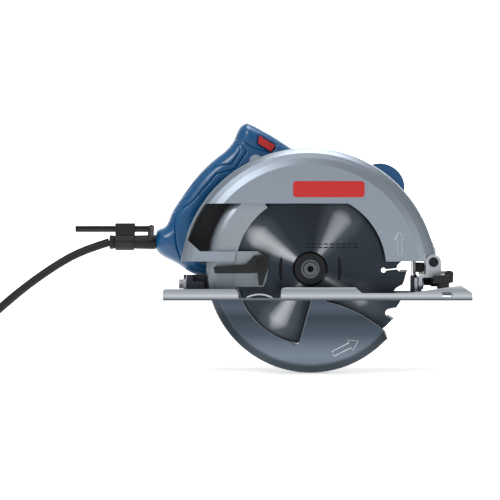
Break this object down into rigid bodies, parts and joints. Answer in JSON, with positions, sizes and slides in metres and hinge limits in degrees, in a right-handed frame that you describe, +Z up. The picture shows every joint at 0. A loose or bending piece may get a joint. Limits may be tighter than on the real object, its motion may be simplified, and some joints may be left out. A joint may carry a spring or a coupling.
{
  "type": "circular saw",
  "caption": "Corded hand-held circular saw with a windowed upper guard, a swinging lower guard, a tilting base plate, a rear trigger handle, a front grip and a side-mounted motor.",
  "frame": {"origin": "on the underside of the base plate, at the middle of its length and of its broad strip beside the blade slot", "axes": "+X forward in the cutting direction, +Y from the blade towards the motor, +Z up from the sole"},
  "size_m": [0.6486, 0.208, 0.2396],
  "materials": {
    "cast_silver": "satin",
    "guard_silver": "satin",
    "plate_steel": "bright",
    "hardware_steel": "bright",
    "dark_steel": "satin",
    "bracket_steel": "satin",
    "blade_steel": "brushed",
    "carbide": "ground",
    "lamination": "satin",
    "copper": "satin",
    "blue_plastic": "satin",
    "black_plastic": "satin",
    "red_plastic": "satin",
    "cream_plastic": "satin",
    "carbon": "matte",
    "black_rubber": "matte"
  },
  "bodies": {
    "carriage": {"front_bracket": "plate_steel", "depth_pivot_pin": "dark_steel", "bevel_pivot_front": "hardware_steel", "depth_arm": "bracket_steel", "bevel_pivot_rear": "hardware_steel", "cord_tube": "black_rubber", "cord_coil": "black_rubber", "mains_plug": "black_plastic"},
    "base": {"base_plate": "plate_steel", "front_quadrant": "plate_steel", "fence_bridge": "plate_steel"},
    "saw": {"upper_guard": "cast_silver", "gear_case": "cast_silver", "case_screws": "hardware_steel", "spindle_bearings": "hardware_steel", "armature_bearings": "hardware_steel", "guard_spring": "hardware_steel", "guard_stop": "black_rubber", "motor_housing": "blue_plastic", "end_cap": "blue_plastic", "housing_screws": "hardware_steel", "stator_core": "lamination", "field_coils": "copper", "brush_holders": "copper", "carbon_brushes": "carbon", "brush_caps": "black_plastic", "handle_screws": "hardware_steel", "trigger_pin": "hardware_steel", "switch_module": "cream_plastic", "cord_clamp": "cream_plastic", "cord_lead": "black_rubber", "cord_sleeve": "black_rubber", "key_clip": "black_plastic", "front_handle": "blue_plastic", "depth_bolt": "hardware_steel", "handle_near_shell": "blue_plastic", "handle_far_shell": "blue_plastic"},
    "spindle": {"output_spindle": "hardware_steel", "driven_gear": "hardware_steel", "inner_flange": "dark_steel", "saw_blade": "blade_steel", "carbide_tips": "carbide", "outer_flange": "dark_steel", "blade_bolt": "dark_steel"},
    "armature": {"armature_shaft": "hardware_steel", "pinion": "hardware_steel", "armature_core": "lamination", "armature_windings": "copper", "commutator": "copper", "cooling_fan": "black_plastic"},
    "guard": {"lower_guard": "guard_silver", "guard_lever": "black_plastic", "lever_screw": "dark_steel"},
    "trigger": {"trigger": "black_plastic"},
    "lock_off": {"lock_button": "red_plastic"},
    "lock_pin": {"spindle_lock": "black_plastic"},
    "clamp_lever": {"depth_lever": "black_plastic"},
    "key": {"hex_key": "dark_steel"},
    "wing_knob": {"bevel_knob": "black_plastic"},
    "wing_screw": {"fence_screw": "black_plastic"}
  },
  "joints": [
    {"name": "depth_tilt", "type": "hinge", "parent": "carriage", "child": "saw", "pos_m": [0.1098, -0.069, 0.0354], "axis": [0, 1, 0], "range_deg": [0, 32]},
    {"name": "bevel_tilt", "type": "hinge", "parent": "carriage", "child": "base", "pos_m": [0, -0.067, 0.0147], "axis": [-1, 0, 0], "range_deg": [0, 45]},
    {"name": "blade_spin", "type": "hinge", "parent": "saw", "child": "spindle", "pos_m": [-0.006, -0.069, 0.029], "axis": [0, -1, 0], "continuous": true},
    {"name": "armature_spin", "type": "hinge", "parent": "saw", "child": "armature", "pos_m": [-0.006, 0.021, 0.055], "axis": [0, -1, 0], "continuous": true},
    {"name": "guard_swing", "type": "hinge", "parent": "saw", "child": "guard", "pos_m": [-0.006, -0.069, 0.029], "axis": [0, 1, 0], "range_deg": [0, 118], "stiffness_Nm_per_rad": 0.12, "springref_deg": -114.59},
    {"name": "trigger_press", "type": "hinge", "parent": "saw", "child": "trigger", "pos_m": [-0.064, -0.013, 0.1245], "axis": [0, 1, 0], "range_deg": [0, 8], "stiffness_Nm_per_rad": 1, "springref_deg": -8.59},
    {"name": "lock_press", "type": "slide", "parent": "saw", "child": "lock_off", "axis": [0, 1, 0], "range_m": [0, 0.003], "stiffness_N_per_m": 800, "springref_m": -0.002},
    {"name": "pin_press", "type": "slide", "parent": "saw", "child": "lock_pin", "axis": [-1, 0, 0], "range_m": [0, 0.003], "stiffness_N_per_m": 800, "springref_m": -0.002},
    {"name": "clamp_turn", "type": "hinge", "parent": "saw", "child": "clamp_lever", "pos_m": [-0.0548, -0.039, 0.04691], "axis": [0, 1, 0], "range_deg": [0, 60]},
    {"name": "knob_turn", "type": "hinge", "parent": "carriage", "child": "wing_knob", "pos_m": [0.109, -0.03531, 0.01915], "axis": [1, 0, 0], "range_deg": [0, 180]},
    {"name": "screw_turn", "type": "hinge", "parent": "base", "child": "wing_screw", "pos_m": [0.117, -0.1025, 0.012], "axis": [0, 0, 1], "range_deg": [0, 360]},
    {"name": "key_lift", "type": "slide", "parent": "saw", "child": "key", "axis": [0, 0, 1], "range_m": [0, 0.012]}
  ],
  "couplings": [
    {"joint": "armature_spin", "follows": "blade_spin", "ratio": -4.7778}
  ]
}
